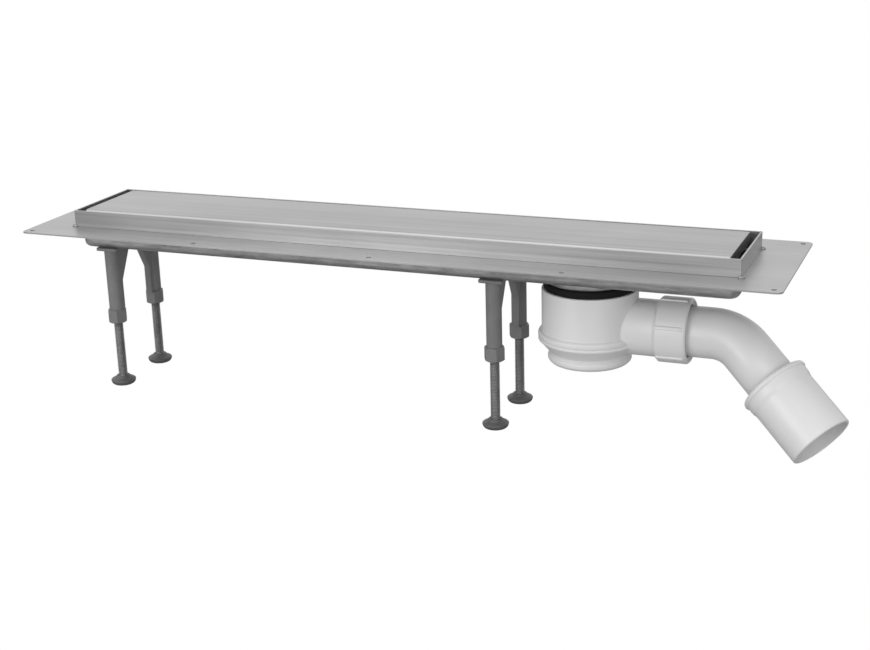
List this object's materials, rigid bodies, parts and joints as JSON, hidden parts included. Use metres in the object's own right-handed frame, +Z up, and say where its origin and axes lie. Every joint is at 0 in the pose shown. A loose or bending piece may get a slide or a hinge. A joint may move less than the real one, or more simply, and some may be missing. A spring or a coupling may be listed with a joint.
{
  "type": "linear shower drain",
  "caption": "Linear shower drain: flanged stainless channel with a closed lift-out cover, siphon trap with side outlet and bend, and arched legs with adjustable threaded feet.",
  "frame": {"origin": "middle of the flange in plan, on the flange's top face", "axes": "+X along the channel towards the outlet end, +Y to the back, +Z up out of the floor"},
  "size_m": [0.6909, 0.145, 0.1595],
  "materials": {
    "stainless": "brushed",
    "white_plastic": "satin",
    "grey_plastic": "matte",
    "black_rubber": "matte",
    "zinc_steel": "zinc plated"
  },
  "bodies": {
    "channel": {"channel_body": "stainless", "frame_front": "stainless", "frame_back": "stainless", "frame_left": "stainless", "frame_right": "stainless", "cover_plate": "stainless", "cover_saddles": "stainless", "clamp_ring": "stainless", "trap_body": "white_plastic", "cleaning_cap": "white_plastic", "siphon_cup": "white_plastic", "dip_tube": "white_plastic", "hair_strainer": "white_plastic", "leg_bracket_left": "grey_plastic", "leg_bracket_right": "grey_plastic", "outlet_seal": "black_rubber", "union_seal": "black_rubber", "dip_tube_ring": "black_rubber", "captive_nuts": "zinc_steel", "weld_studs": "zinc_steel", "bracket_nuts": "zinc_steel", "bracket_washers": "zinc_steel", "clamp_screws": "zinc_steel"},
    "union_nut": {"union_nut": "white_plastic"},
    "bend": {"outlet_bend": "white_plastic"},
    "adapter": {"outlet_adapter": "white_plastic", "adapter_seal": "black_rubber"},
    "foot_front_left": {"foot_front_left": "grey_plastic"},
    "stud_front_left": {"leg_stud_front_left": "zinc_steel"},
    "foot_back_left": {"foot_back_left": "grey_plastic"},
    "stud_back_left": {"leg_stud_back_left": "zinc_steel"},
    "foot_front_right": {"foot_front_right": "grey_plastic"},
    "stud_front_right": {"leg_stud_front_right": "zinc_steel"},
    "foot_back_right": {"foot_back_right": "grey_plastic"},
    "stud_back_right": {"leg_stud_back_right": "zinc_steel"}
  },
  "joints": [
    {"name": "nut_turn", "type": "hinge", "parent": "channel", "child": "union_nut", "pos_m": [0.2305, 0, -0.0585], "axis": [1, 0, 0], "range_deg": [0, 180]},
    {"name": "bend_swivel", "type": "hinge", "parent": "channel", "child": "bend", "pos_m": [0.235, 0, -0.0585], "axis": [1, 0, 0], "range_deg": [-79, 141]},
    {"name": "adapter_turn", "type": "hinge", "parent": "bend", "child": "adapter", "pos_m": [0.31839, -0.02212, -0.09531], "axis": [0.7071, -0.3642, -0.6061], "continuous": true},
    {"name": "foot_lift_front_left", "type": "slide", "parent": "channel", "child": "foot_front_left", "axis": [0, 0, 1], "range_m": [-0.024, 0.03]},
    {"name": "stud_turn_front_left", "type": "hinge", "parent": "foot_front_left", "child": "stud_front_left", "pos_m": [-0.261, -0.031, -0.085], "axis": [0, 0, 1], "range_deg": [-6915, 8645]},
    {"name": "foot_lift_back_left", "type": "slide", "parent": "channel", "child": "foot_back_left", "axis": [0, 0, 1], "range_m": [-0.024, 0.03]},
    {"name": "stud_turn_back_left", "type": "hinge", "parent": "foot_back_left", "child": "stud_back_left", "pos_m": [-0.261, 0.031, -0.085], "axis": [0, 0, 1], "range_deg": [-6915, 8645]},
    {"name": "foot_lift_front_right", "type": "slide", "parent": "channel", "child": "foot_front_right", "axis": [0, 0, 1], "range_m": [-0.024, 0.03]},
    {"name": "stud_turn_front_right", "type": "hinge", "parent": "foot_front_right", "child": "stud_front_right", "pos_m": [0.091, -0.031, -0.085], "axis": [0, 0, 1], "range_deg": [-6915, 8645]},
    {"name": "foot_lift_back_right", "type": "slide", "parent": "channel", "child": "foot_back_right", "axis": [0, 0, 1], "range_m": [-0.024, 0.03]},
    {"name": "stud_turn_back_right", "type": "hinge", "parent": "foot_back_right", "child": "stud_back_right", "pos_m": [0.091, 0.031, -0.085], "axis": [0, 0, 1], "range_deg": [-6915, 8645]}
  ],
  "couplings": [
    {"joint": "stud_turn_front_left", "follows": "foot_lift_front_left", "rad_per_m": 5026.5},
    {"joint": "stud_turn_back_left", "follows": "foot_lift_back_left", "rad_per_m": 5026.5},
    {"joint": "stud_turn_front_right", "follows": "foot_lift_front_right", "rad_per_m": 5026.5},
    {"joint": "stud_turn_back_right", "follows": "foot_lift_back_right", "rad_per_m": 5026.5}
  ]
}
